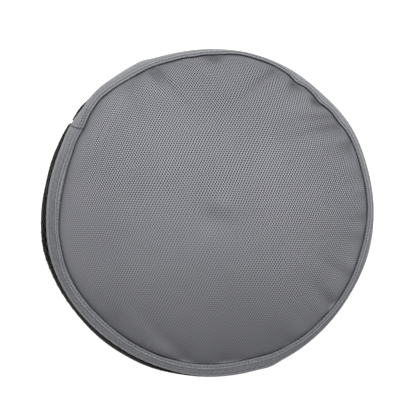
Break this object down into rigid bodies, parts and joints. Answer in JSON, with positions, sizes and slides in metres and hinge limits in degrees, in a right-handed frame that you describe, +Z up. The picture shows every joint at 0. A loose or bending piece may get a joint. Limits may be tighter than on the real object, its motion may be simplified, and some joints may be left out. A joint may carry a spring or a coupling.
{
  "type": "kufi",
  "caption": "Round brimless cloth cap: domed grey crown, grey tape binding round the rim and a tall black wall that flares to an open hem.",
  "frame": {"origin": "centre of the bounding box's bottom, on the surface the hem stands on, in the middle of the head opening", "axes": "+Z up through the crown; seen from above the wall's back seam lies 145 degrees counterclockwise from +X"},
  "size_m": [0.1848, 0.1848, 0.1076],
  "materials": {
    "grey_pique": "matt bird's-eye weave",
    "grey_tape": "matt plain tape",
    "black_cloth": "soft matt black with grey stitching"
  },
  "bodies": {
    "root": {"crown": "grey_pique", "crown_binding": "grey_tape", "side_wall": "black_cloth"}
  },
  "joints": []
}
